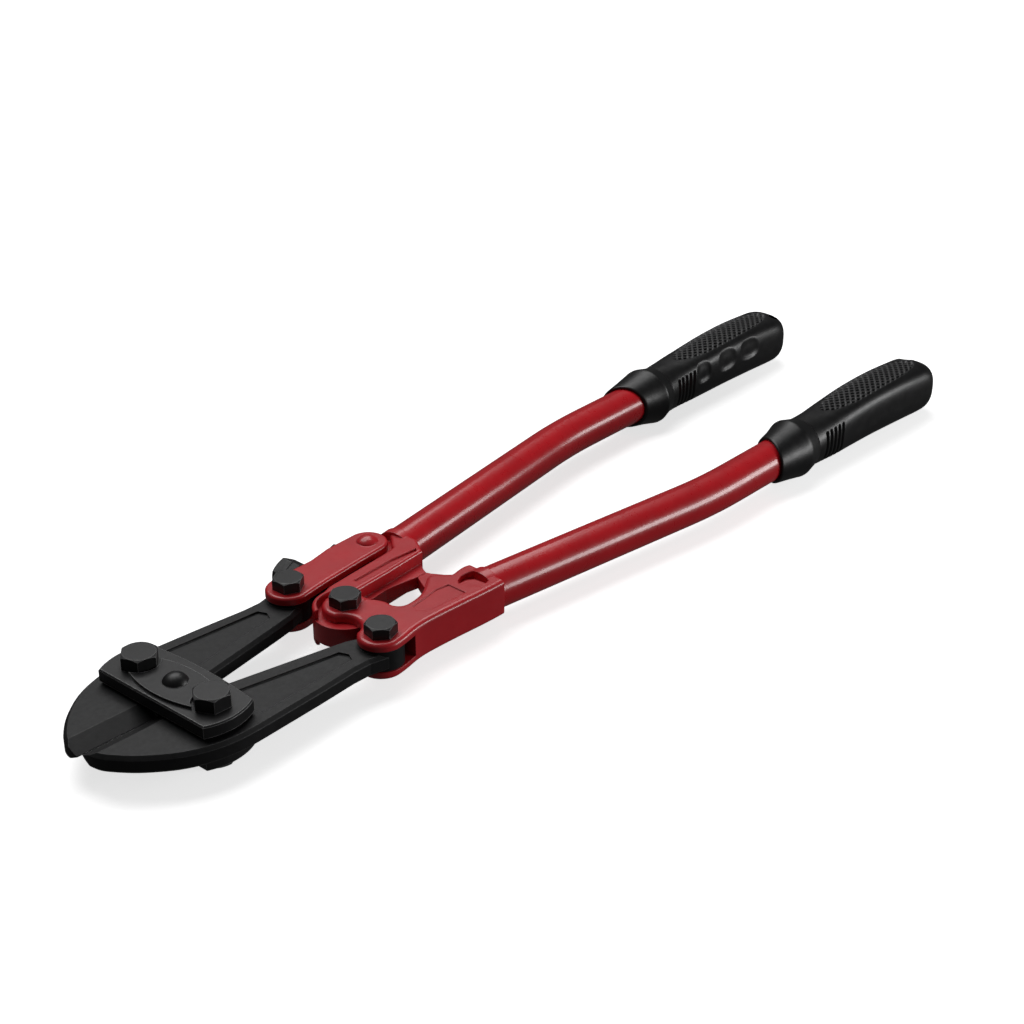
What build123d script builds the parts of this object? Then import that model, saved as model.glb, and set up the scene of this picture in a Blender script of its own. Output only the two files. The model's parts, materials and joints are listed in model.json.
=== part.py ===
from build123d import *
import math
import os

os.makedirs("parts", exist_ok=True)

# ---------------------------------------------------------------- dimensions (mm)
reach = 457.0                 # 18 inch size class, jaw tip to grip end
tip_lead = 1.22               # the tilted far jaw reaches a little past the nominal tip
mid_height = 13.2             # jaw mid plane above the bench, the grip collars rest on it
slip = 0.08                   # radial clearance of a pin in its hole

# head
pivot_x = 41.9                # jaw tip to jaw pivot, along the jaws
pivot_half_span = 19.35       # jaw pivot to the cutting line
jaw_reach = 74.15             # jaw pivot to tail bolt, along the jaw
tail_offset = 5.65            # tail bolt further out than the jaw pivot
jaw_lean = -2.2               # the closed jaws lie over to one side by this angle (deg)
jaw_half_thick = 3.65
jaw_gap = 0.08                # half the gap left between the cutting edges
bevel_width = 7.0             # knife bevel on each side of a cutting edge
bevel_end = 34.0
land_top = 4.95               # raised pad that runs against the upper plate
rivet_bay = 6.3               # bay round the centre rivet, wide enough for the jaw swing
tail_top = 4.85
tail_radius = 8.6
edge_break = 1.4

plate_z = 5.0                 # underside of the upper plate
low_plate_z = -3.75           # upper side of the lower plate
plate_thick = 4.9
lock_thick = 1.2
pivot_bolt_d = 8.0
pivot_hex = 12.7              # across flats
pivot_head = 5.5
pivot_nut = 4.5

# handles
tail_x = 116.0
centre_x = 122.0              # pivot that joins the two handles
link_bolt_d = 7.0
link_hex = 11.0
link_head = 4.5
cast_top = 8.2                # cast handle ends, top face
cast_low = -7.2               # and bottom face
slot_top = 5.05               # clevis slot for the jaw tail
slot_low = -3.85
tongue_half = 4.2             # far handle tongue between the near handle ears
ear_gap = 4.35
ear_radius = 9.0
tongue_radius = 12.6
centre_play = 1.9             # play that the centre pivot needs in the tongue
web_half = 2.6
near_round = 1.8              # edge rounding of the near casting
strap_z = 5.0                 # underside of the upper strap
strap_x = 161.5               # strap rivet
strap_y = 28.3
strap_pin_r = 3.0
strap_end_r = 8.2
block_end = 157.1             # rear end of the threaded block
shoulder_r = 9.4              # round shoulder in front of each tube
tang_length = 32.0            # how far the castings reach into the tubes
head_pin_r = 2.92             # centre rivet of the plates
head_hole_r = 3.0

# tubes and grips
tube_d = 17.5
tube_bore = 14.3
tang_d = 14.2
tube_start = 175.6
tube_start_y = 24.0
tube_slope = 7.95             # outward slope of the straight run (deg)
bend_start = 280.0
bend_end = 310.0
tube_end = 425.0
grip_start = 338.0
grip_end = reach
collar_radius = 13.2
hole_x = 450.0
hole_y = 38.2
hole_d = 6.0

# ---------------------------------------------------------------- derived positions
sin = lambda a: math.sin(math.radians(a))
cos = lambda a: math.cos(math.radians(a))
plate_lean = math.degrees(math.asin(-(tail_offset / pivot_half_span) * sin(jaw_lean)))
tail_y = pivot_half_span * cos(plate_lean) + tail_offset * cos(jaw_lean)
x0 = (tip_lead - reach) / 2


def world(x, y, z=0.0):
    return (x0 + x, y, mid_height + z)


far_tail = (tail_x, tail_y)
near_tail = (tail_x, -tail_y)
far_pivot = (tail_x - jaw_reach * cos(jaw_lean) + tail_offset * sin(jaw_lean),
             tail_y - jaw_reach * sin(jaw_lean) - tail_offset * cos(jaw_lean))
near_pivot = (tail_x - jaw_reach * cos(jaw_lean) - tail_offset * sin(jaw_lean),
              -tail_y - jaw_reach * sin(jaw_lean) + tail_offset * cos(jaw_lean))
head_centre = ((far_pivot[0] + near_pivot[0]) / 2, (far_pivot[1] + near_pivot[1]) / 2)

# working planes: x along the tool, z up
flat = Plane(origin=world(0, 0), x_dir=(1, 0, 0), z_dir=(0, 0, 1))
head = Plane(origin=world(*head_centre), x_dir=(cos(plate_lean), sin(plate_lean), 0), z_dir=(0, 0, 1))
far_jaw_plane = Plane(origin=world(*far_pivot), x_dir=(cos(jaw_lean), sin(jaw_lean), 0), z_dir=(0, 0, 1))
near_jaw_plane = Plane(origin=world(*near_pivot), x_dir=(cos(jaw_lean), sin(jaw_lean), 0),
                       z_dir=(0, 0, 1))


def from_pivot(points):
    """Points given from the jaw tip and the cutting line, measured from the jaw pivot instead."""
    return [(x - pivot_x, y - pivot_half_span) for x, y in points]


def on_side(points, side):
    """The same points on the far (1) or the near (-1) side of the tool."""
    return [(x, side * y) for x, y in points]


# ---------------------------------------------------------------- jaws
nose = from_pivot([(-0.1, jaw_gap), (-0.4, 4.0), (0.2, 7.6), (3.0, 12.4), (9.0, 19.4), (14.2, 23.9),
                   (19.3, 27.6), (24.5, 30.4), (29.6, 32.4), (36.0, 34.0), (44.0, 34.7), (54.0, 34.4)])
shank = from_pivot([(54.0, 34.4), (80.0, 32.7), (98.0, 31.2), (105.0, 31.2), (112.0, 32.8),
                    (116.05, 33.3), (116.05, 16.9), (108.0, 13.5), (100.0, 11.8), (61.0, 4.5),
                    (56.0, 3.4), (51.0, 1.5), (44.0, 0.5), (36.0, jaw_gap), (-0.1, jaw_gap)])
panel = from_pivot([(56.0, 28.6), (101.0, 25.6), (102.6, 22.0), (101.0, 18.4), (56.0, 10.6)])
land = from_pivot([(31.5, jaw_gap), (44.0, 0.6), (52.6, 2.2), (53.0, 26.0), (45.0, 29.0), (31.5, 26.6)])
wedge_depth = land_top + 0.5
wedge_out = bevel_width * wedge_depth / jaw_half_thick
run_out = 6.0                 # the bevel cut starts this far in front of the tip


def make_jaw(plane, side):
    with BuildPart() as jaw:
        with BuildSketch(plane.offset(-jaw_half_thick)):
            with BuildLine():
                Spline(*on_side(nose, side))
                Polyline(*on_side(shank, side))
            make_face()
        extrude(amount=2 * jaw_half_thick)
        rim = []
        for e in jaw.edges():
            spot = plane.to_local_coords(e.center())
            if abs(abs(spot.Z) - jaw_half_thick) < 0.01 and side * spot.Y > 2.0 - pivot_half_span:
                rim.append(e)
        chamfer(rim, edge_break)
        # pad under the upper plate
        with BuildSketch(plane):
            with BuildLine():
                Polyline(*on_side(land, side), close=True)
            make_face()
        extrude(amount=land_top)
        # knife bevel on both faces
        for face in (1, -1):
            section = Plane(origin=plane.from_local_coords((-pivot_x - run_out, -side * pivot_half_span, 0)),
                            x_dir=plane.y_dir * side, z_dir=plane.x_dir)
            with BuildSketch(section):
                with BuildLine():
                    Polyline((0, 0), (wedge_out, face * wedge_depth), (-3, face * wedge_depth), (-3, 0),
                             close=True)
                make_face()
            extrude(amount=bevel_end + run_out, mode=Mode.SUBTRACT)
        # boss at the tail
        with BuildSketch(plane.offset(-jaw_half_thick)):
            with Locations((jaw_reach, side * tail_offset)):
                Circle(tail_radius)
        extrude(amount=jaw_half_thick + tail_top)
        # sunk panels along the shank
        for z in (jaw_half_thick - 0.9, -jaw_half_thick - 1.0):
            with BuildSketch(plane.offset(z)):
                with BuildLine():
                    Polyline(*on_side(panel, side), close=True)
                make_face()
            extrude(amount=1.9, mode=Mode.SUBTRACT)
        # pivot hole, tail hole and the bay that clears the centre rivet
        with BuildSketch(plane.offset(-8.0)):
            Circle(pivot_bolt_d / 2 + slip)
            with Locations((jaw_reach, side * tail_offset)):
                Circle(link_bolt_d / 2 + slip)
            with Locations((0, -side * pivot_half_span)):
                Circle(rivet_bay)
        extrude(amount=16.0, mode=Mode.SUBTRACT)
    return jaw


jaw_far = make_jaw(far_jaw_plane, 1)
jaw_far.part.label = "jaw_far"
export_step(jaw_far.part, "parts/jaw_far.step")

jaw_near = make_jaw(near_jaw_plane, -1)
jaw_near.part.label = "jaw_near"
export_step(jaw_near.part, "parts/jaw_near.step")

# ---------------------------------------------------------------- connecting plates
bolt_spots = [(0, pivot_half_span), (0, -pivot_half_span)]


def make_plate(low_z, outer_z):
    with BuildPart() as plate:
        with BuildSketch(head.offset(low_z)):
            with BuildLine():
                Line((-12.0, -28.0), (-12.0, 28.0))
                ThreePointArc((-12.0, 28.0), (0.5, 31.0), (11.5, 27.8))
                ThreePointArc((11.5, 27.8), (13.5, 0.0), (11.5, -27.8))
                ThreePointArc((11.5, -27.8), (0.5, -31.0), (-12.0, -28.0))
            make_face()
            with Locations(*bolt_spots):
                Circle(pivot_bolt_d / 2 + slip, mode=Mode.SUBTRACT)
            Circle(head_hole_r, mode=Mode.SUBTRACT)
        extrude(amount=plate_thick)
        rim = [e for e in plate.edges()
               if abs(head.to_local_coords(e.center()).Z - outer_z) < 0.01 and e.length > 12.0
               and (e.geom_type != GeomType.CIRCLE or e.radius > 5.0)]
        chamfer(rim, 0.6)
    return plate


plate_top = make_plate(plate_z, plate_z + plate_thick)
plate_top.part.label = "plate_top"
export_step(plate_top.part, "parts/plate_top.step")

plate_bottom = make_plate(low_plate_z - plate_thick, low_plate_z - plate_thick)
plate_bottom.part.label = "plate_bottom"
export_step(plate_bottom.part, "parts/plate_bottom.step")

stack = plate_z + plate_thick
stack_low = low_plate_z - plate_thick


def spin(plane, spot, z):
    """Location at a spot of a plane, raised by z."""
    return plane.offset(z).location * Location((spot[0], spot[1], 0))


def hex_part(plane, spot, turn, flats, z_low, z_high, low, high, bore):
    corner = flats / math.sqrt(3)
    size = z_high - z_low
    with BuildPart() as piece:
        with BuildSketch():
            RegularPolygon(corner, 6, rotation=turn)
        extrude(amount=size)
        profile = [(0, 0), (corner - low, 0), (corner + 0.05, low * 0.6),
                   (corner + 0.05, size - high * 0.6), (corner - high, size), (0, size)]
        with BuildSketch(Plane.XZ):
            with BuildLine():
                Polyline(*profile, close=True)
            make_face()
        revolve(axis=Axis.Z, mode=Mode.INTERSECT)
        if bore:
            Cylinder(bore, size, align=(Align.CENTER, Align.CENTER, Align.MIN), mode=Mode.SUBTRACT)
    return spin(plane, spot, z_low) * piece.part


bolt_heads = [hex_part(head, spot, turn, pivot_hex, stack, stack + pivot_head, 0.0, 1.15, 0)
              for spot, turn in zip(bolt_spots, (46.0, 55.4))]
with BuildPart() as pivot_bolts:
    with BuildSketch(head.offset(stack_low - pivot_nut)):
        with Locations(*bolt_spots):
            Circle(pivot_bolt_d / 2)
    extrude(amount=stack - stack_low + pivot_nut)
    add(bolt_heads)
pivot_bolts.part.label = "pivot_bolts"
export_step(pivot_bolts.part, "parts/pivot_bolts.step")

nut_solids = [hex_part(head, spot, turn, pivot_hex, stack_low - pivot_nut, stack_low, 1.15, 0.4,
                       pivot_bolt_d / 2 + slip) for spot, turn in zip(bolt_spots, (12.0, 33.0))]
with BuildPart() as pivot_nuts:
    add(nut_solids)
pivot_nuts.part.label = "pivot_nuts"
export_step(pivot_nuts.part, "parts/pivot_nuts.step")

with BuildPart() as lock_plate:
    with BuildSketch(head.offset(stack)):
        with BuildLine():
            ThreePointArc((-7.0, -17.2), (-10.2, 0.0), (-7.0, 17.2))
            Line((-7.0, 17.2), (5.5, 17.2))
            ThreePointArc((5.5, 17.2), (8.8, 0.0), (5.5, -17.2))
            Line((5.5, -17.2), (-7.0, -17.2))
        make_face()
        with Locations(*bolt_spots):
            Circle(pivot_hex / math.sqrt(3) + 0.25, mode=Mode.SUBTRACT)
        Circle(head_hole_r, mode=Mode.SUBTRACT)
    extrude(amount=lock_thick)
lock_plate.part.label = "lock_plate"
export_step(lock_plate.part, "parts/lock_plate.step")


def rivet(spot, shank_r, head_r, low, high, dome):
    """Solid rivet with a round head at both ends, each head a cap of a sphere."""
    ball = (head_r ** 2 + dome ** 2) / (2 * dome)
    half_turn = math.asin(head_r / ball) / 2
    mid_r = ball * math.sin(half_turn)
    mid_h = ball * math.cos(half_turn) - ball + dome
    with BuildPart() as piece:
        with BuildSketch(Plane.XZ):
            with BuildLine():
                Line((0, low - dome), (0, high + dome))
                ThreePointArc((0, high + dome), (mid_r, high + mid_h), (head_r, high))
                Polyline((head_r, high), (shank_r, high), (shank_r, low), (head_r, low))
                ThreePointArc((head_r, low), (mid_r, low - mid_h), (0, low - dome))
            make_face()
        revolve(axis=Axis.Z)
    return flat.location * Location((spot[0], spot[1], 0)) * piece.part


rivet_solid = rivet(head_centre, head_pin_r, 4.85, stack_low, stack + lock_thick, 3.1)
with BuildPart() as centre_rivet:
    add(rivet_solid)
centre_rivet.part.label = "centre_rivet"
export_step(centre_rivet.part, "parts/centre_rivet.step")

# ---------------------------------------------------------------- cast handle ends
tube_dir = (cos(tube_slope), sin(tube_slope))
axis_y = lambda x: tube_start_y + (x - tube_start) * math.tan(math.radians(tube_slope))


def along_tube(side, x):
    """Plane square to the tube axis where the axis crosses x, on the far or near side."""
    return Plane(origin=world(x, side * axis_y(x)), x_dir=(0, 0, 1),
                 z_dir=(tube_dir[0], side * tube_dir[1], 0))


def slab(points, low, high, mode=Mode.ADD):
    """Straight sided outline between two heights."""
    with BuildSketch(flat.offset(low)) as outline:
        with BuildLine():
            Polyline(*points, close=True)
        make_face()
    extrude(outline.sketch, amount=high - low, mode=mode)


def disc(spot, radius, low, high, mode=Mode.ADD):
    with BuildSketch(flat.offset(low)) as outline:
        with Locations(spot):
            Circle(radius)
    extrude(outline.sketch, amount=high - low, mode=mode)


def both_faces(points, depth):
    """Shallow pocket sunk into the top and the bottom face of a casting."""
    slab(points, cast_top - depth, cast_top + 2.0, Mode.SUBTRACT)
    slab(points, cast_low - 2.0, cast_low + depth, Mode.SUBTRACT)


def soften(part, radius, keep):
    """Round the rims of the top and bottom faces."""
    rim = []
    for e in part.edges():
        spot = flat.to_local_coords(e.center())
        if min(abs(spot.Z - cast_top), abs(spot.Z - cast_low)) < 0.01 and keep(spot):
            rim.append(e)
    fillet(rim, radius)


def square_off(side):
    """Cut the back of a casting square to its tube, just short of the tube end."""
    with BuildSketch(along_tube(side, tube_start - 0.08)) as cut:
        Rectangle(40.0, 40.0)
    extrude(cut.sketch, amount=8.0, mode=Mode.SUBTRACT)


centre = (centre_x, 0.0)
strap_spot = (strap_x, strap_y)
bore_low = cast_low - 4.0
bore_high = cast_top + 4.0

with BuildPart() as casting_near:
    with BuildSketch(flat.offset(cast_low)):
        with BuildLine():
            ThreePointArc((130.3, -3.5), (122.0, 9.0), (113.6, -3.2))
            ThreePointArc((113.6, -3.2), (117.4, -10.5), (111.0, -17.5))
            ThreePointArc((111.0, -17.5), (107.1, -26.6), (116.0, -34.0))
            Spline((116.0, -34.0), (122.0, -33.2), (129.0, -31.9), (140.0, -31.7), (152.0, -32.4),
                   (164.0, -33.3), (175.5, -33.6))
            Line((175.5, -33.6), (175.5, -14.6))
            Spline((175.5, -14.6), (172.0, -13.6), (168.0, -14.0), (164.6, -14.2), (162.0, -12.0),
                   (160.0, -9.6), (157.6, -8.9), (155.0, -10.2), (151.0, -13.2), (146.0, -15.8),
                   (140.0, -17.0), (135.4, -16.4), (133.7, -14.0), (133.6, -10.5), (132.6, -7.0),
                   (130.3, -3.5))
        make_face()
    extrude(amount=cast_top - cast_low)
    soften(casting_near, near_round, lambda p: True)
    square_off(-1)
    # stop lobe, shoulder and the tang that the tube sits on
    slab([(155.0, -11.0), (160.9, -0.12), (165.8, -0.12), (166.5, -2.0), (169.3, -6.6), (171.5, -9.0),
          (173.0, -15.0), (165.0, -20.0)], -web_half, web_half)
    with BuildSketch(along_tube(-1, 169.0)):
        Circle(shoulder_r)
    extrude(amount=6.6)
    with BuildSketch(along_tube(-1, 172.0)):
        Circle(tang_d / 2)
    extrude(amount=tang_length)
    # slot for the jaw tail, slot for the far handle tongue
    disc(near_tail, tail_radius + 0.9, slot_low, slot_top, Mode.SUBTRACT)
    slab([(100.0, -13.0), (118.5, -13.0), (118.5, -24.0), (126.5, -24.0), (126.5, -45.0), (100.0, -45.0)],
         slot_low, slot_top, Mode.SUBTRACT)
    slab([(100.0, 15.0), (122.0, 15.0), (118.5, -13.5), (100.0, -13.5)], -ear_gap, ear_gap, Mode.SUBTRACT)
    disc(centre, tongue_radius + centre_play, -ear_gap, ear_gap, Mode.SUBTRACT)
    # pockets in the faces
    both_faces([(137.0, -20.5), (136.0, -24.0), (140.0, -27.4), (158.0, -28.4), (158.0, -19.4),
                (152.0, -18.4), (144.0, -19.6)], 0.5)
    both_faces([(161.0, -22.0), (162.6, -20.0), (166.0, -18.6), (169.0, -18.8), (170.8, -20.6),
                (170.8, -28.8), (168.0, -29.6), (167.4, -24.4), (165.0, -22.4)], 2.4)
    disc(near_tail, link_bolt_d / 2 + slip, bore_low, bore_high, Mode.SUBTRACT)
    disc(centre, link_bolt_d / 2 + slip, bore_low, bore_high, Mode.SUBTRACT)
casting_near.part.label = "casting_near"
export_step(casting_near.part, "parts/casting_near.step")

seat_radius = ear_radius + centre_play
wall_end = 158.0              # the wall beside the near handle ear stops here (deg about the centre pivot)


def about_centre(radius, angle):
    return (centre_x + radius * cos(angle), radius * sin(angle))


with BuildPart() as casting_far:
    # thick arm with the curved wall beside the near handle ear
    with BuildSketch(flat.offset(cast_low)):
        with BuildLine():
            Polyline(about_centre(9.6, 25.0), (150.0, 5.0), (170.5, 6.6), (175.5, 14.6), (175.5, 27.5),
                     (172.8, 26.8), (170.8, 24.8), (169.6, 23.0), (166.4, 19.6), (164.8, 17.3),
                     (160.0, 16.3), (140.0, 15.0), (127.0, 14.0), about_centre(tongue_radius, 88.0))
            ThreePointArc(about_centre(tongue_radius, 88.0), about_centre(tongue_radius, 125.0),
                          about_centre(tongue_radius, wall_end))
            Line(about_centre(tongue_radius, wall_end), about_centre(9.6, wall_end))
            ThreePointArc(about_centre(9.6, wall_end), about_centre(9.6, 90.0), about_centre(9.6, 25.0))
        make_face()
    extrude(amount=cast_top - cast_low)
    soften(casting_far, 1.2, lambda p: (p - Vector(centre_x, 0, p.Z)).length > 11.5)
    square_off(1)
    # thin web with the stop lobe, tongue, lobe under the straps
    slab([(124.0, 12.0), (128.0, 2.6), (138.7, 1.4), (146.0, 2.3), (154.0, 1.3), (160.9, 0.12),
          (165.8, 0.12), (166.5, 2.0), (169.3, 6.6), (174.0, 12.0), (172.0, 14.0), (130.0, 12.0)],
         -web_half, web_half)
    disc(centre, tongue_radius, -tongue_half, tongue_half)
    slab([(block_end + 0.3, 15.0), (174.0, 16.0), (174.0, 30.0), (168.5, 32.0), (165.0, 34.8),
          (161.5, 35.5), (block_end + 0.3, 34.0)], slot_low + 0.05, strap_z - 0.05)
    with BuildSketch(along_tube(1, 171.5)):
        Circle(shoulder_r)
    extrude(amount=4.1)
    with BuildSketch(along_tube(1, 172.0)):
        Circle(tang_d / 2)
    extrude(amount=tang_length)
    # seats for the near handle ears
    disc(centre, seat_radius, tongue_half, bore_high, Mode.SUBTRACT)
    disc(centre, seat_radius, bore_low, -tongue_half, Mode.SUBTRACT)
    both_faces([(136.0, 6.4), (150.0, 6.7), (168.5, 7.8), (170.0, 9.6), (157.0, 10.9), (136.0, 10.1)],
               0.9)
    disc(strap_spot, strap_pin_r + slip, bore_low, bore_high, Mode.SUBTRACT)
    disc(centre, link_bolt_d / 2 + centre_play, bore_low, bore_high, Mode.SUBTRACT)
casting_far.part.label = "casting_far"
export_step(casting_far.part, "parts/casting_far.step")

# ---------------------------------------------------------------- adjustable link on the far handle
def make_strap(low_z, high_z, outer_z):
    with BuildPart() as strap:
        with BuildSketch(flat.offset(low_z)):
            with BuildLine():
                ThreePointArc((118.0, 16.2), (107.0, 25.6), (116.5, 34.0))
                Polyline((116.5, 34.0), (136.0, 34.2), (147.0, 36.2), (161.5, strap_y + strap_end_r))
                ThreePointArc((161.5, strap_y + strap_end_r), (161.5 + strap_end_r, strap_y),
                              (162.3, strap_y - strap_end_r + 0.04))
                Polyline((162.3, strap_y - strap_end_r + 0.04), (150.0, 19.4), (130.0, 17.7), (118.0, 16.2))
            make_face()
            with Locations(far_tail):
                Circle(link_bolt_d / 2 + slip, mode=Mode.SUBTRACT)
            with Locations(strap_spot):
                Circle(strap_pin_r + slip, mode=Mode.SUBTRACT)
        extrude(amount=high_z - low_z)
        rim = [e for e in strap.edges()
               if abs(flat.to_local_coords(e.center()).Z - outer_z) < 0.01
               and (e.geom_type != GeomType.CIRCLE or e.radius > 5.0)]
        fillet(rim, 1.3)
    return strap


strap_top = make_strap(strap_z, cast_top, cast_top)
strap_top.part.label = "strap_top"
export_step(strap_top.part, "parts/strap_top.step")

strap_bottom = make_strap(cast_low, slot_low, cast_low)
strap_bottom.part.label = "strap_bottom"
export_step(strap_bottom.part, "parts/strap_bottom.step")

screw_spots = (131.5, 153.6)
screw_radii = (3.0, 2.5)
screw_tips = (14.75, 16.1)
screw_heads = (39.6, 36.9)
screw_head_sizes = (5.8, 3.2)
screw_flats = (12.0, 10.0)
nut_low = 35.4                # jam nut of the front screw
nut_size = 4.0
screw_planes = [Plane(origin=world(x, 0.0), x_dir=(1, 0, 0), z_dir=(0, 1, 0)) for x in screw_spots]
with BuildPart() as link_block:
    slab([(125.9, 18.6), (block_end, 21.0), (block_end, 35.2), (147.0, 34.6), (136.0, 32.9), (125.9, 32.6)],
         slot_low, strap_z)
    for lying, radius in zip(screw_planes, screw_radii):
        with BuildSketch(lying.offset(10.0)):
            Circle(radius + slip)
        extrude(amount=40.0, mode=Mode.SUBTRACT)
link_block.part.label = "link_block"
export_step(link_block.part, "parts/link_block.step")

screw_tops = [hex_part(lying, (0, 0), 90.0, flats, head_y, head_y + head_size, 0.3, 1.0, 0)
              for lying, flats, head_y, head_size
              in zip(screw_planes, screw_flats, screw_heads, screw_head_sizes)]
with BuildPart() as adjust_screws:
    for lying, radius, tip_y, head_y in zip(screw_planes, screw_radii, screw_tips, screw_heads):
        with BuildSketch(lying.offset(tip_y)):
            Circle(radius)
        extrude(amount=head_y - tip_y)
    add(screw_tops)
adjust_screws.part.label = "adjust_screws"
export_step(adjust_screws.part, "parts/adjust_screws.step")

nut_solid = hex_part(screw_planes[0], (0, 0), 90.0, screw_flats[0], nut_low, nut_low + nut_size, 0.5, 0.5,
                     screw_radii[0] + slip)
with BuildPart() as adjust_nut:
    add(nut_solid)
adjust_nut.part.label = "adjust_nut"
export_step(adjust_nut.part, "parts/adjust_nut.step")

rivet_solid = rivet(strap_spot, strap_pin_r, 4.4, cast_low, cast_top, 2.2)
with BuildPart() as link_rivet:
    add(rivet_solid)
link_rivet.part.label = "link_rivet"
export_step(link_rivet.part, "parts/link_rivet.step")

# ---------------------------------------------------------------- link bolts, screwed into the lower ears
bolt_tail = 0.8               # the bolt ends stand out this far below
link_spots = {"tail_far": (far_tail, 33.0), "tail_near": (near_tail, 17.0), "centre": (centre, 31.0)}
for name, (spot, turn) in link_spots.items():
    cap = hex_part(flat, spot, turn, link_hex, cast_top, cast_top + link_head, 0.0, 1.0, 0)
    with BuildPart() as bolt:
        with BuildSketch(flat.offset(cast_low - bolt_tail)):
            with Locations(spot):
                Circle(link_bolt_d / 2)
        extrude(amount=cast_top - cast_low + bolt_tail)
        add(cap)
    bolt.part.label = name + "_bolt"
    export_step(bolt.part, "parts/" + name + "_bolt.step")

# ---------------------------------------------------------------- tubes
grip_y = tube_start_y + (bend_start - tube_start) * math.tan(math.radians(tube_slope)) \
    + (bend_end - bend_start) * math.tan(math.radians(tube_slope / 2))


def ring_sketch(plane):
    with BuildSketch(plane) as ring:
        Circle(tube_d / 2)
        Circle(tube_bore / 2, mode=Mode.SUBTRACT)
    return ring.sketch


def make_tube(side):
    bend_radius = (bend_end - bend_start) / sin(tube_slope)
    bend_axis = Axis(world(bend_end, side * (grip_y - bend_radius)), (0, 0, side))
    bend_face = Plane(origin=world(bend_end, side * grip_y), x_dir=(0, 0, 1), z_dir=(1, 0, 0))
    with BuildPart() as tube:
        extrude(ring_sketch(along_tube(side, tube_start)),
                amount=(bend_start - tube_start) / cos(tube_slope))
        revolve(ring_sketch(bend_face), axis=bend_axis, revolution_arc=tube_slope)
        extrude(ring_sketch(bend_face), amount=tube_end - bend_end)
    return tube


tube_far = make_tube(1)
tube_far.part.label = "tube_far"
export_step(tube_far.part, "parts/tube_far.step")

tube_near = make_tube(-1)
tube_near.part.label = "tube_near"
export_step(tube_near.part, "parts/tube_near.step")

# ---------------------------------------------------------------- grips
# distance along the tool, shift outward, lift, half width, half height, corner radius
grip_sections = [
    (350.0, 0.0, 0.0, 9.8, 9.8, 9.4),
    (361.8, 0.3, 0.0, 10.9, 10.9, 9.6),
    (372.0, 0.8, 0.1, 10.9, 11.0, 8.6),
    (388.0, 0.8, 0.8, 10.9, 11.0, 7.6),
    (405.0, 1.0, 1.2, 11.3, 11.4, 7.6),
    (425.0, 1.4, 0.8, 11.7, 11.7, 7.8),
    (443.0, 1.8, 0.0, 11.6, 11.6, 7.8),
    (451.0, 1.9, -0.3, 10.8, 10.8, 7.4),
    (455.4, 1.9, -0.4, 8.6, 8.6, 6.4),
    (grip_end, 1.9, -0.4, 5.4, 5.4, 4.2),
]
collar_profile = [(grip_start, 0.0), (grip_start, 9.6), (339.0, 10.2), (343.0, 10.6), (347.0, 11.6),
                  (351.0, 12.7), (353.8, collar_radius), (356.0, 13.0), (358.5, 12.3), (360.4, 11.6),
                  (361.5, 0.0)]
mouth = 5.0                   # the tube bore is cut from this far in front of the grip


def make_grip(side):
    axis_start = world(0, side * grip_y)
    with BuildPart() as grip:
        for x, shift, lift, half_w, half_h, corner in grip_sections:
            with BuildSketch(Plane(origin=world(x, side * (grip_y + shift), lift), x_dir=(0, 1, 0),
                                   z_dir=(1, 0, 0))):
                RectangleRounded(2 * half_w, 2 * half_h, corner)
        loft()
        with BuildSketch(Plane(origin=axis_start, x_dir=(1, 0, 0), z_dir=(0, 0, 1))):
            with BuildLine():
                Polyline(*collar_profile, close=True)
            make_face()
        revolve(axis=Axis(axis_start, (1, 0, 0)))
        with BuildSketch(Plane(origin=world(grip_start - mouth, side * grip_y), x_dir=(0, 1, 0),
                               z_dir=(1, 0, 0))):
            Circle(tube_d / 2 + slip)
        extrude(amount=tube_end + 0.5 - grip_start + mouth, mode=Mode.SUBTRACT)
        with BuildSketch(flat.offset(-20.0)):
            with Locations((hole_x, side * hole_y)):
                Circle(hole_d / 2)
        extrude(amount=40.0, mode=Mode.SUBTRACT)
    return grip


grip_far = make_grip(1)
grip_far.part.label = "grip_far"
export_step(grip_far.part, "parts/grip_far.step")

grip_near = make_grip(-1)
grip_near.part.label = "grip_near"
export_step(grip_near.part, "parts/grip_near.step")
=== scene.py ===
import bpy
import json
import math
from mathutils import Matrix, Vector


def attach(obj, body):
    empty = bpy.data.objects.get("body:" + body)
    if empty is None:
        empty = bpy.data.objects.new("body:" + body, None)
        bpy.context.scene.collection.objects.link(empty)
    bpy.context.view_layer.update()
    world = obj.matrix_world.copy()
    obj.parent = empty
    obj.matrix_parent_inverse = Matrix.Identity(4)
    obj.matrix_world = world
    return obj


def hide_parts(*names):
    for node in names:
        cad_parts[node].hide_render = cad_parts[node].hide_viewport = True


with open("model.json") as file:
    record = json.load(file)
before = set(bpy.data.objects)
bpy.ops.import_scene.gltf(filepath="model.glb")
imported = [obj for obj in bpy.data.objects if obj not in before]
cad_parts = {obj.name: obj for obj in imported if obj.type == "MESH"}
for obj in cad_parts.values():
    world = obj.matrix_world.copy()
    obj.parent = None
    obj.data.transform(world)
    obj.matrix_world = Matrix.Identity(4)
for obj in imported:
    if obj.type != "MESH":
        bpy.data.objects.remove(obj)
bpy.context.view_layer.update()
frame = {"nodes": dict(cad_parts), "record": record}
nodes = frame["nodes"]
scene = bpy.context.scene
MM = 0.001


# ---------------------------------------------------------------- node helpers
def new_material(name):
    mat = bpy.data.materials.new(name)
    mat.use_nodes = True
    tree = mat.node_tree
    tree.nodes.clear()
    out = tree.nodes.new("ShaderNodeOutputMaterial")
    bsdf = tree.nodes.new("ShaderNodeBsdfPrincipled")
    tree.links.new(bsdf.outputs[0], out.inputs["Surface"])
    coord = tree.nodes.new("ShaderNodeTexCoord")
    return mat, tree, bsdf, coord.outputs["Object"]


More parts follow.
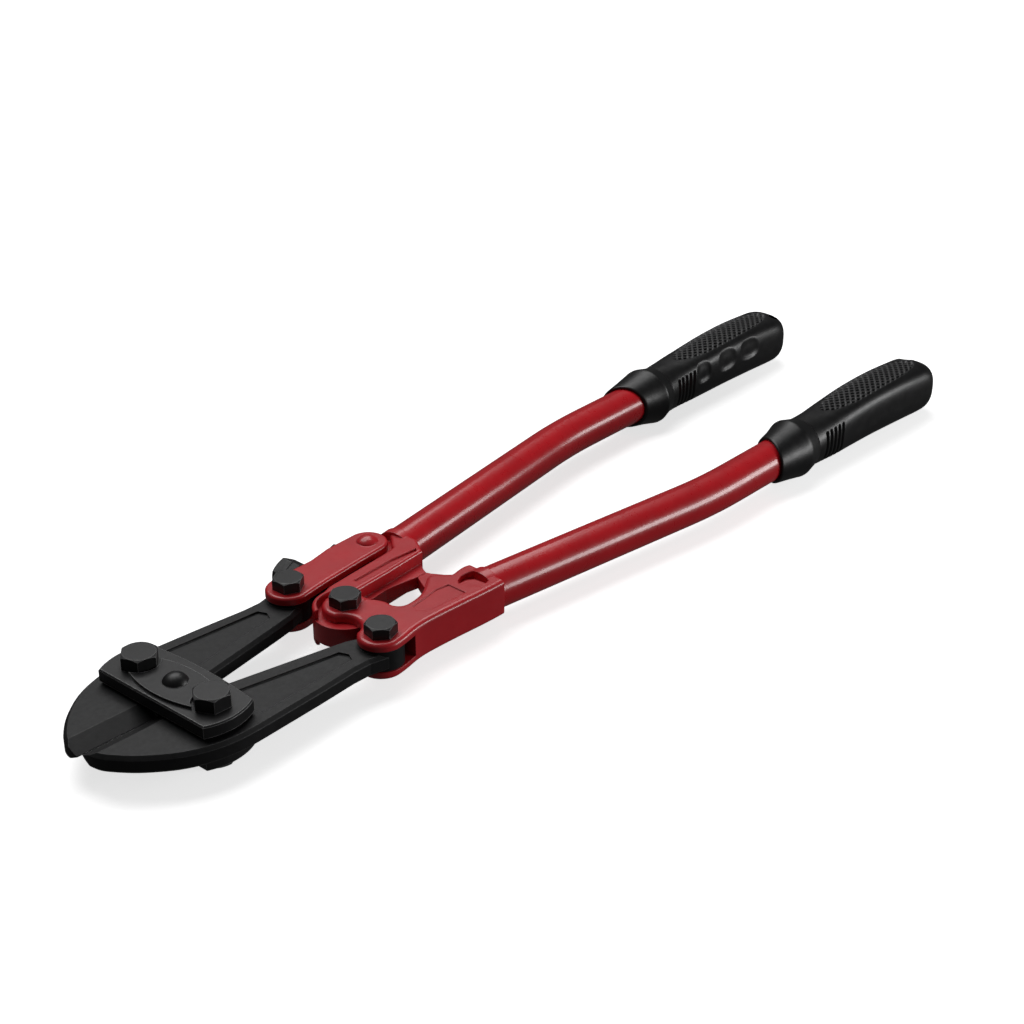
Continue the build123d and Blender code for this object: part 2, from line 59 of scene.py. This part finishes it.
def noise(tree, vector, scale, detail):
    n = tree.nodes.new("ShaderNodeTexNoise")
    n.inputs["Scale"].default_value = scale
    n.inputs["Detail"].default_value = detail
    n.inputs["Roughness"].default_value = 0.55
    tree.links.new(vector, n.inputs["Vector"])
    return n.outputs["Fac"]


def ramp(tree, value, low, high, out_low=0.0, out_high=1.0):
    m = tree.nodes.new("ShaderNodeMapRange")
    for key, number in (("From Min", low), ("From Max", high), ("To Min", out_low), ("To Max", out_high)):
        m.inputs[key].default_value = number
    tree.links.new(value, m.inputs["Value"])
    return m.outputs["Result"]


def mix(tree, fac, a, b):
    m = tree.nodes.new("ShaderNodeMix")
    m.data_type = "RGBA"
    tree.links.new(fac, m.inputs[0])
    for socket, colour in ((m.inputs[6], a), (m.inputs[7], b)):
        if isinstance(colour, tuple):
            socket.default_value = (*colour, 1.0)
        else:
            tree.links.new(colour, socket)
    return m.outputs[2]


def product(tree, a, b):
    m = tree.nodes.new("ShaderNodeMath")
    m.operation = "MULTIPLY"
    for i, v in enumerate((a, b)):
        if isinstance(v, float):
            m.inputs[i].default_value = v
        else:
            tree.links.new(v, m.inputs[i])
    return m.outputs[0]


def bump(tree, height, distance, normal=None):
    b = tree.nodes.new("ShaderNodeBump")
    b.inputs["Distance"].default_value = distance
    b.inputs["Strength"].default_value = 1.0
    tree.links.new(height, b.inputs["Height"])
    if normal:
        tree.links.new(normal, b.inputs["Normal"])
    return b.outputs["Normal"]


def edges(tree, radius):
    """(rounded normal, mask of the edges within the radius)"""
    b = tree.nodes.new("ShaderNodeBevel")
    b.samples = 6
    b.inputs["Radius"].default_value = radius
    geo = tree.nodes.new("ShaderNodeNewGeometry")
    dot = tree.nodes.new("ShaderNodeVectorMath")
    dot.operation = "DOT_PRODUCT"
    tree.links.new(b.outputs["Normal"], dot.inputs[0])
    tree.links.new(geo.outputs["Normal"], dot.inputs[1])
    return b.outputs["Normal"], ramp(tree, dot.outputs["Value"], 0.995, 0.88)


# ---------------------------------------------------------------- finishes
def black_steel(name, base, rough, worn_and_highlight, grain, radius=0.5 * MM, shine=0.5):
    """Oxide finish: mottled base, paler at the edges, partly rubbed metal and partly a painted highlight.
    """
    mat, tree, bsdf, pos = new_material(name)
    normal, edge = edges(tree, radius)
    mottle = ramp(tree, noise(tree, pos, 260.0, 5.0), 0.3, 0.7)
    fine = noise(tree, pos, 2600.0, 3.0)
    tone = mix(tree, mottle, tuple(c * 0.75 for c in base), tuple(c * 1.3 for c in base))
    patchy = ramp(tree, noise(tree, pos, 700.0, 3.0), 0.2, 0.6, 0.35, 1.0)
    # edge mask in patches: the pale edge tone is partly rubbed metal, partly a painted highlight
    rub_and_highlight = product(tree, edge, patchy)
    tree.links.new(mix(tree, rub_and_highlight, tone, worn_and_highlight), bsdf.inputs["Base Color"])
    tree.links.new(ramp(tree, noise(tree, pos, 480.0, 4.0), 0.3, 0.7, rough - 0.05, rough + 0.06),
                   bsdf.inputs["Roughness"])
    bsdf.inputs["Specular IOR Level"].default_value = shine
    tree.links.new(bump(tree, fine, grain, normal), bsdf.inputs["Normal"])
    return mat


def red_enamel(name, base, rough, wave, wave_scale, radius=0.6 * MM):
    """Gloss paint with a faint ripple and a painted highlight: a little paler at the edges if a radius is
    given.
    """
    mat, tree, bsdf, pos = new_material(name)
    normal, edge = edges(tree, radius) if radius else (None, 0.0)
    cloud = ramp(tree, noise(tree, pos, 60.0, 3.0), 0.3, 0.7)
    tone = mix(tree, cloud, tuple(c * 0.92 for c in base), tuple(min(1.0, c * 1.07) for c in base))
    # painted highlight: a paler, pinker tone mixed in along the edges
    edge_highlight = (base[0] * 1.15, base[1] * 2.2, base[2] * 2.0)
    soft_edge_highlight = product(tree, edge, 0.6)
    tree.links.new(mix(tree, soft_edge_highlight, tone, edge_highlight), bsdf.inputs["Base Color"])
    tree.links.new(ramp(tree, noise(tree, pos, 300.0, 3.0), 0.3, 0.7, rough - 0.04, rough + 0.04),
                   bsdf.inputs["Roughness"])
    bsdf.inputs["Coat Weight"].default_value = 0.5
    bsdf.inputs["Coat Roughness"].default_value = 0.14
    peel = noise(tree, pos, wave_scale, 2.0)
    tree.links.new(bump(tree, peel, wave, normal), bsdf.inputs["Normal"])
    return mat


# painted highlight on the net's raised lines, painted shade in its pits
NET_LINE_HIGHLIGHT_TONE = (0.045, 0.045, 0.046)
NET_PIT_SHADE_TONE = (0.0008, 0.0008, 0.0008)


def black_rubber(name, base, rough):
    """Moulded rubber; the diamond net's raised lines carry a painted highlight and its pits painted
    shade, through their mesh attributes.
    """
    mat, tree, bsdf, pos = new_material(name)
    cloud = ramp(tree, noise(tree, pos, 90.0, 4.0), 0.3, 0.7)
    tone = mix(tree, cloud, tuple(c * 0.8 for c in base), tuple(c * 1.25 for c in base))
    for label, colour in (("net_line_highlight", NET_LINE_HIGHLIGHT_TONE), ("net_pit_shade", NET_PIT_SHADE_TONE)):
        mask = tree.nodes.new("ShaderNodeAttribute")
        mask.attribute_name = label
        tone = mix(tree, mask.outputs["Fac"], tone, colour)
    tree.links.new(tone, bsdf.inputs["Base Color"])
    tree.links.new(ramp(tree, noise(tree, pos, 350.0, 4.0), 0.3, 0.7, rough - 0.04, rough + 0.05),
                   bsdf.inputs["Roughness"])
    bsdf.inputs["Specular IOR Level"].default_value = 0.5
    tree.links.new(bump(tree, noise(tree, pos, 3200.0, 2.0), 0.02 * MM), bsdf.inputs["Normal"])
    return mat


OXIDE = (0.006, 0.006, 0.0065)
# pale edge colour: partly rubbed metal, partly a painted highlight
RUBBED_AND_HIGHLIGHT = (0.42, 0.42, 0.42)
jaw_steel = black_steel("jaw_steel", OXIDE, 0.48, (0.10, 0.10, 0.102), 0.03 * MM, shine=0.36)
plate_steel = black_steel("plate_steel", OXIDE, 0.4, RUBBED_AND_HIGHLIGHT, 0.02 * MM)
bolt_steel = black_steel("bolt_steel", OXIDE, 0.4, RUBBED_AND_HIGHLIGHT, 0.02 * MM, 0.4 * MM)
screw_steel = black_steel("screw_steel", (0.009, 0.009, 0.0095), 0.45, (0.06, 0.06, 0.06), 0.04 * MM)
red_casting = red_enamel("red_casting", (0.56, 0.010, 0.018), 0.38, 0.08 * MM, 260.0)
red_tube = red_enamel("red_tube", (0.56, 0.009, 0.016), 0.30, 0.015 * MM, 120.0, None)
grip_rubber = black_rubber("grip_rubber", (0.0045, 0.0045, 0.0048), 0.38)

finish = {"jaw_steel": jaw_steel, "plate_steel": plate_steel, "bolt_steel": bolt_steel,
          "screw_steel": screw_steel, "red_casting": red_casting, "red_tube": red_tube,
          "grip_rubber": grip_rubber}
for part in frame["record"]["subparts"]:
    mesh = nodes[part["node"]].data
    mesh.materials.clear()
    mesh.materials.append(finish[part["material_slot"]])


# ---------------------------------------------------------------- grips
TIP_X = -227.89          # jaw tip, where the long dimensions start
MID_Z = 13.2             # jaw mid plane above the floor
GRIP_Y = 40.654          # grip axis to the tool's centre line


def smooth(t):
    t = max(0.0, min(1.0, t))
    return t * t * (3 - 2 * t)


def table(points, x):
    """Smooth curve through (x, value) pairs, with Catmull-Rom slopes; level after the last pair."""
    for i in range(len(points) - 1):
        x0, y0 = points[i]
        x1, y1 = points[i + 1]
        if x <= x1:
            xa, ya = points[max(0, i - 1)]
            xb, yb = points[min(len(points) - 1, i + 2)]
            h = x1 - x0
            m0 = (y1 - ya) / (x1 - xa)
            m1 = (yb - y0) / (xb - x0)
            t = (x - x0) / h
            return ((2 * t**3 - 3 * t**2 + 1) * y0 + (t**3 - 2 * t**2 + t) * h * m0
                    + (-2 * t**3 + 3 * t**2) * y1 + (t**3 - t**2) * h * m1)
    return points[-1][1]


# (distance from the jaw tip, value) along the grip: half sizes, shift of the middle, squareness
HALF_WIDTH = [(361, 11.2), (367, 11.0), (375, 10.8), (388, 10.8), (405, 11.2), (425, 11.6), (446, 11.7)]
HALF_HEIGHT = [(361, 11.2), (367, 11.1), (375, 11.0), (388, 11.0), (405, 11.4), (425, 11.7), (446, 11.7)]
OUTWARD = [(361, 0.0), (367, 0.5), (375, 0.8), (388, 0.8), (405, 1.0), (425, 1.4), (441, 1.7), (457, 1.9)]
LIFT = [(361, 0.0), (375, 0.2), (388, 0.7), (405, 1.2), (425, 0.9), (441, 0.0), (450, -0.4), (457, -0.5)]
SQUARE = [(361, 2.05), (370, 2.3), (380, 2.8), (395, 3.2), (440, 3.2), (457, 2.6)]
NOSE_START = 443.0
NOSE_END = 457.0
HOLE_X = 450.0           # hang hole
HOLE_Y = 38.2
HOLE_R = 3.0
RIB_FIRST = 366.4        # first rib groove, the others follow at RIB_PITCH
RIB_PITCH = 2.9
RIB_DEPTH = 1.05         # the tube below must stay covered
RIB_DROP = 14.0          # the ribs sit this far below the side's middle (deg)
DENTS = [(386.0, 5.6, 5.4), (404.0, 7.2, 5.6), (421.5, 8.0, 5.4)]    # x, half length, half height
DENT_Z = 3.6
DENT_DEPTH = 1.0
DENT_SQUARE = 2.6        # exponent of the dents' outline
DENT_FROM = 115.0        # the dents lie between these two angles, on the inner side (deg)
DENT_TO = 245.0
FRONT_LEAN = 0.42        # the collar's mouth is cut oblique: its outer side reaches further forward
LEAN_FADE = 22.5         # length over which that lean dies out
COLLAR_SHIFT = 0.4       # the whole collar sits this much further back
COLLAR_START = 338.0
COLLAR = [(338.2, 9.0), (COLLAR_START, 9.6), (338.05, 9.9), (338.5, 10.2), (339.2, 10.35), (345.5, 11.45),
          (352.0, 12.85), (352.7, 13.05), (353.3, 13.15), (354.0, 13.15), (354.6, 13.0), (355.3, 12.8),
          (359.2, 11.85), (360.2, 11.5), (360.8, 11.3)]      # (distance, radius), mouth to neck
NECK_START = 361.2       # the body of the grip starts here
NET_MIDDLE = 412.0       # diamond panel
NET_HALF_LENGTH = 36.0
NET_HALF_WIDTH = 7.4
NET_PITCH_ALONG = 3.9
NET_PITCH_ACROSS = 3.2
NET_SQUARE = 2.6         # exponent of the panel's outline
NET_MARGIN = 0.5         # the texture fades out over this width at the panel's sides
NET_PIT_HALF = 0.38      # half width of a pit, as a share of the pitch
NET_SLOPE = 0.1          # width of a pit's side wall, as a share of the pitch
NET_DEPTH = 0.9
RIB_COUNT = 5
RIB_SPREAD = 50.0        # the ribs reach this far up and down from their middle (deg)
RIB_FADE = 7.0           # and fade out over this last part (deg)
RIB_BOW = 1.2            # they bend back by this much at RIB_BOW_AT
RIB_BOW_AT = 45.0
RIB_HALF = 1.0           # half width of a groove
RIB_SLOPE = 0.75         # width of a groove's side wall
NOSE_SIDE = 3.2          # exponents of the rounded end
NOSE_FRONT = 2.2
AROUND = 288             # points round the grip
STATION_STEP = 0.26      # spacing of the sections along the grip
NOSE_STEPS = 30          # sections of the rounded end


def cross_section(x, angle):
    """Sideways and upward half distances of the grip at x, without texture."""
    w = table(HALF_WIDTH, x)
    h = table(HALF_HEIGHT, x)
    n = table(SQUARE, x)
    if x > NOSE_START:
        t = (x - NOSE_START) / (NOSE_END - NOSE_START)
        k = (1 - t ** NOSE_SIDE) ** (1 / NOSE_FRONT)
        w *= k
        h *= k
    c, s = math.cos(angle), math.sin(angle)
    r = (abs(c) ** n + abs(s) ** n) ** (-1 / n)
    return w * r * c, h * r * s


def net(x, side_y):
    """(1 on the raised lines, 1 in the pits) of the diamond panel on the top and on the underside."""
    along = (x - NET_MIDDLE) / NET_HALF_LENGTH
    if abs(along) >= 1:
        return 0.0, 0.0
    half = NET_HALF_WIDTH * (1 - abs(along) ** NET_SQUARE) ** 0.5
    if abs(side_y) >= half:
        return 0.0, 0.0
    margin = min(1.0, (half - abs(side_y)) / NET_MARGIN)
    u = x / NET_PITCH_ALONG + side_y / NET_PITCH_ACROSS
    v = x / NET_PITCH_ALONG - side_y / NET_PITCH_ACROSS
    du = abs(u - math.floor(u) - 0.5)
    dv = abs(v - math.floor(v) - 0.5)
    inside = [smooth((NET_PIT_HALF - d) / NET_SLOPE) for d in (du, dv)]
    pit = margin * min(inside)
    return margin * (1 - pit), pit


def relief(x, angle, side_y):
    """Depth of the moulded texture, in mm inwards. angle 0 is outward, 90 degrees is up."""
    depth = NET_DEPTH * net(x, side_y)[1]
    # rib grooves on both sides behind the neck
    a = math.degrees(angle)
    for middle in (-RIB_DROP, 180.0 + RIB_DROP):
        off = abs((a - middle + 180) % 360 - 180)
        if off < RIB_SPREAD:
            bow = RIB_BOW * (off / RIB_BOW_AT) ** 2
            fade = smooth((RIB_SPREAD - off) / RIB_FADE)
            for k in range(RIB_COUNT):
                g = abs(x - RIB_FIRST - RIB_PITCH * k - bow)
                if g < RIB_HALF:
                    depth += RIB_DEPTH * smooth((RIB_HALF - g) / RIB_SLOPE) * fade
    return depth


def grip_mesh(name, mirror):
    """Closed skin of collar, body and rounded end. mirror is 1 for the far grip, -1 for the near one."""
    verts = []
    faces = []
    stations = []
    x = NECK_START
    while x < NOSE_START:
        stations.append(x)
        x += STATION_STEP
    for i in range(NOSE_STEPS):
        stations.append(NOSE_START + (NOSE_END - NOSE_START) * math.sin(math.pi / 2 * i / NOSE_STEPS))
    rows = []
    lines = [0.0] * (len(COLLAR) * AROUND)
    pits = list(lines)
    for cx, radius in COLLAR:
        row = []
        lean = FRONT_LEAN * (1 - smooth((cx - COLLAR_START) / LEAN_FADE))
        for j in range(AROUND):
            t = 2 * math.pi * j / AROUND
            y = radius * math.cos(t)
            row.append((cx + COLLAR_SHIFT - lean * y, y, radius * math.sin(t)))
        rows.append(row)
    for x in stations:
        row = []
        shift = table(OUTWARD, x)
        lift = table(LIFT, x)
        for j in range(AROUND):
            t = 2 * math.pi * j / AROUND
            y, z = cross_section(x, t)
            d = relief(x, t, y)
            line, pit = net(x, y)
            lines.append(line)
            pits.append(pit)
            length = math.hypot(y, z)
            if DENT_FROM < math.degrees(t) < DENT_TO:
                for dx, rx, rz in DENTS:
                    e = abs((x - dx) / rx) ** DENT_SQUARE + abs((z - DENT_Z) / rz) ** DENT_SQUARE
                    if e < 1:
                        d = max(d, DENT_DEPTH * smooth(1 - e))
            k = (length - d) / length
            row.append((x, shift + y * k, lift + z * k))
        rows.append(row)
    for row in rows:
        for cx, y, z in row:
            verts.append(((TIP_X + cx) * MM, mirror * (GRIP_Y + y) * MM, (MID_Z + z) * MM))
    for i in range(len(rows) - 1):
        for j in range(AROUND):
            a, b = i * AROUND + j, i * AROUND + (j + 1) % AROUND
            quad = (a, b, b + AROUND, a + AROUND)
            faces.append(quad if mirror > 0 else quad[::-1])
    last = (len(rows) - 1) * AROUND
    tip = len(verts)
    end_y = GRIP_Y + table(OUTWARD, NOSE_END)
    end_z = MID_Z + table(LIFT, NOSE_END)
    verts.append(((TIP_X + NOSE_END) * MM, mirror * end_y * MM, end_z * MM))
    for j in range(AROUND):
        tri = (last + j, last + (j + 1) % AROUND, tip)
        faces.append(tri if mirror > 0 else tri[::-1])
    mesh = bpy.data.meshes.new(name)
    mesh.from_pydata(verts, [], faces)
    # masks for the painted highlight on the net's lines and the painted shade in its pits
    for label, values in (("net_line_highlight", lines), ("net_pit_shade", pits)):
        mesh.attributes.new(label, "FLOAT", "POINT").data.foreach_set("value", values + [0.0])
    mesh.polygons.foreach_set("use_smooth", [True] * len(mesh.polygons))
    mesh.update()
    obj = bpy.data.objects.new(name, mesh)
    scene.collection.objects.link(obj)
    mesh.materials.append(grip_rubber)
    return obj


def hang_hole(grip, mirror):
    """Cuts the hole and leaves the result as the grip's own mesh."""
    middle = ((TIP_X + HOLE_X) * MM, mirror * HOLE_Y * MM, MID_Z * MM)
    bpy.ops.mesh.primitive_cylinder_add(vertices=64, radius=HOLE_R * MM, depth=40 * MM, location=middle)
    cutter = bpy.context.object
    cut = grip.modifiers.new("hang_hole", "BOOLEAN")
    cut.operation = "DIFFERENCE"
    cut.solver = "EXACT"
    cut.object = cutter
    bpy.context.view_layer.update()
    done = bpy.data.meshes.new_from_object(grip.evaluated_get(bpy.context.evaluated_depsgraph_get()))
    grip.modifiers.clear()
    grip.data = done
    bpy.data.objects.remove(cutter)


for label, mirror in (("far", 1), ("near", -1)):
    grip = grip_mesh("moulded_grip_" + label, mirror)
    hang_hole(grip, mirror)
    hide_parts("grip_" + label)
    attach(grip, "handle_" + label)


# ---------------------------------------------------------------- stage, light and camera
FLOOR_GLOW = 0.75        # own light of the paper floor, it keeps the shadows pale
ROOM_LIGHT = 0.055       # light from all round on the tool; the camera sees white
SOFTBOXES = [
    # name, place, size (m), power (W)
    ("softbox_top", (0.2, 0.55, 1.15), (1.4, 1.0), 13.0),
    ("softbox_side", (0.8, -1.0, 0.22), (0.8, 0.34), 7.0),
]
CAMERA_PLACE = (TIP_X - 337.0, -497.5, MID_Z + 410.0)
CAMERA_YAW = 41.97
CAMERA_PITCH = 28.31     # downwards
CAMERA_ROLL = -0.18
CAMERA_LENS = 73.125


def stage_material():
    mat, tree, bsdf, pos = new_material("studio_floor")
    cloud = ramp(tree, noise(tree, pos, 3.0, 3.0), 0.3, 0.7)
    tone = mix(tree, cloud, (0.93, 0.93, 0.93), (0.97, 0.97, 0.97))
    tree.links.new(tone, bsdf.inputs["Base Color"])
    tree.links.new(tone, bsdf.inputs["Emission Color"])
    bsdf.inputs["Emission Strength"].default_value = FLOOR_GLOW
    bsdf.inputs["Roughness"].default_value = 0.9
    bsdf.inputs["Specular IOR Level"].default_value = 0.1
    return mat


bpy.ops.mesh.primitive_plane_add(size=8.0, location=(0, 0, 0))
floor = bpy.context.object
floor.name = "studio_floor"
floor.data.materials.append(stage_material())
floor.visible_diffuse = False
floor.visible_glossy = False

world = bpy.data.worlds.new("studio")
scene.world = world
world.use_nodes = True
room = world.node_tree
path = room.nodes.new("ShaderNodeLightPath")
room.nodes["Background"].inputs["Color"].default_value = (1.0, 1.0, 1.0, 1.0)
strength = ramp(room, path.outputs["Is Camera Ray"], 0.0, 1.0, ROOM_LIGHT, 1.0)
room.links.new(strength, room.nodes["Background"].inputs["Strength"])


for label, place, size, power in SOFTBOXES:
    data = bpy.data.lights.new(label, "AREA")
    data.shape = "RECTANGLE"
    data.size, data.size_y = size
    data.energy = power
    lamp = bpy.data.objects.new(label, data)
    lamp.location = place
    aim = Vector((0, 0, 0)) - Vector(place)
    lamp.rotation_euler = aim.to_track_quat("-Z", "Y").to_euler()
    scene.collection.objects.link(lamp)

camera_data = bpy.data.cameras.new("camera")
camera_data.lens = CAMERA_LENS
camera_data.sensor_width = 36.0
camera_data.clip_start = 0.01
camera = bpy.data.objects.new("camera", camera_data)
turn = (Matrix.Rotation(math.radians(CAMERA_YAW - 90), 4, "Z")
        @ Matrix.Rotation(math.radians(90 - CAMERA_PITCH), 4, "X")
        @ Matrix.Rotation(math.radians(CAMERA_ROLL), 4, "Z"))
camera.matrix_world = Matrix.Translation(Vector(CAMERA_PLACE) * MM) @ turn
scene.collection.objects.link(camera)
scene.camera = camera
scene.view_settings.view_transform = "Standard"
